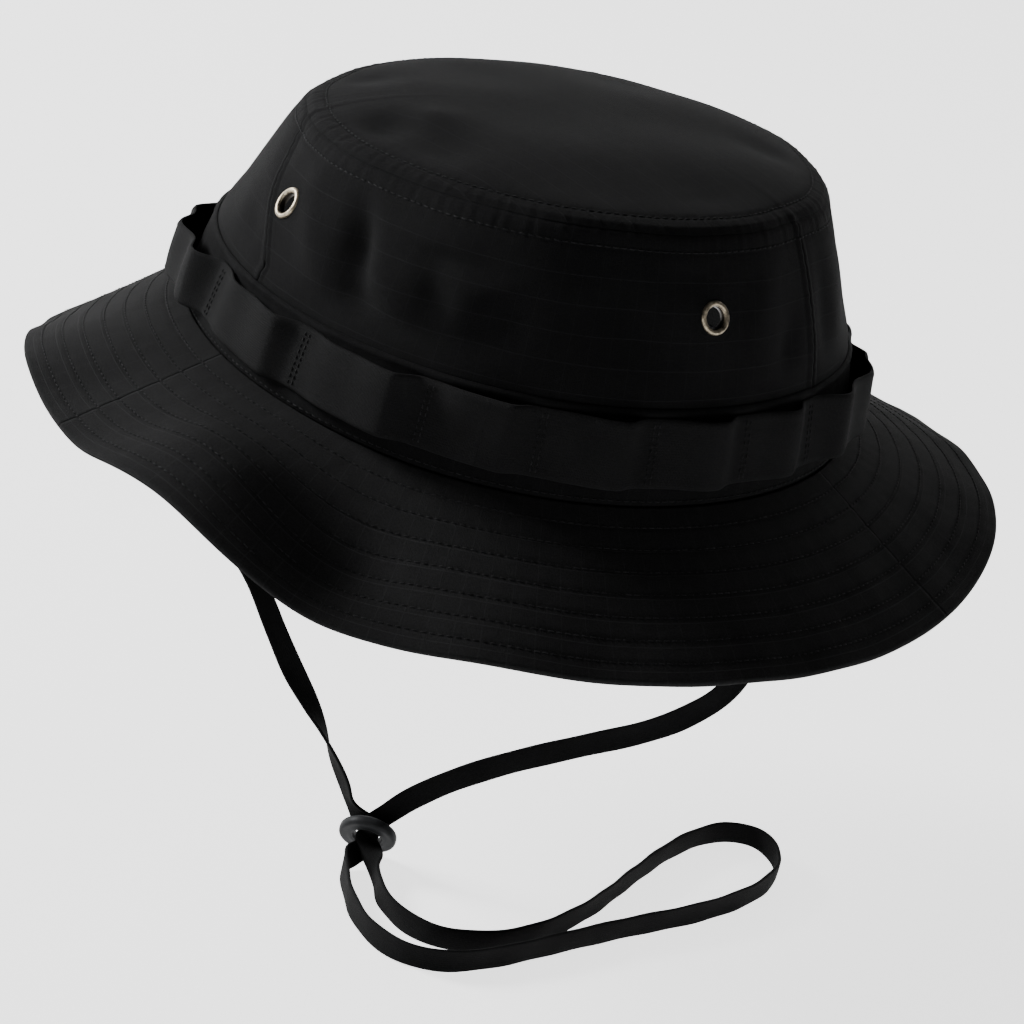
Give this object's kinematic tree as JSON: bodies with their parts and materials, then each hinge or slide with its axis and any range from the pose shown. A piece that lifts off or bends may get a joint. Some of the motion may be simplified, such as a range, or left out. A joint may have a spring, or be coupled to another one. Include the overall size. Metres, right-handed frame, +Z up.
{
  "type": "bucket hat",
  "caption": "Soft ripstop bucket hat with a wide stitched brim, a band of webbing loops, vent eyelets and a flat chin cord with a sliding keeper.",
  "frame": {"origin": "middle of the head opening, level with the mean height of the seam between the crown and the brim", "axes": "+Z up out of the crown, -Y towards the front of the hat, +X towards the wearer's left"},
  "size_m": [0.2747, 0.2948, 0.2183],
  "materials": {
    "crown_cloth": "fine ripstop cotton, matt black",
    "brim_cloth": "fine ripstop cotton, matt black, stitched in rows",
    "interlining": "stiff woven interlining",
    "loop_webbing": "ribbed woven webbing, matt black",
    "sweatband_cloth": "soft cotton twill, matt black",
    "seam_tape": "thin binding tape",
    "eyelet_metal": "antique brass, darkened",
    "cord_tape": "flat braided tape, soft sheen",
    "keeper": "satin moulded, charcoal"
  },
  "bodies": {
    "hat": {"crown_tip": "crown_cloth", "crown_panel_front": "crown_cloth", "crown_panel_left": "crown_cloth", "crown_panel_right": "crown_cloth", "tip_seam_tape": "seam_tape", "base_band": "crown_cloth", "loop_band": "loop_webbing", "sweatband": "sweatband_cloth", "brim_top_front": "brim_cloth", "brim_top_back": "brim_cloth", "brim_interlining": "interlining", "brim_under_front": "brim_cloth", "brim_under_back": "brim_cloth", "eyelet_front_left": "eyelet_metal", "eyelet_front_right": "eyelet_metal", "eyelet_back_right": "eyelet_metal", "eyelet_back_left": "eyelet_metal", "washer_front_left": "eyelet_metal", "washer_front_right": "eyelet_metal", "washer_back_right": "eyelet_metal", "washer_back_left": "eyelet_metal", "cord_tab_left": "loop_webbing", "cord_tab_right": "loop_webbing", "chin_cord_left": "cord_tape", "chin_cord_right": "cord_tape", "chin_cord_tail": "cord_tape"},
    "keeper": {"cord_keeper": "keeper"}
  },
  "joints": [
    {"name": "keeper_slide", "type": "slide", "parent": "hat", "child": "keeper", "axis": [0, 0.788, 0.6157], "range_m": [0, 0.03], "deforming": ["chin_cord_left", "chin_cord_right", "chin_cord_tail"]}
  ]
}
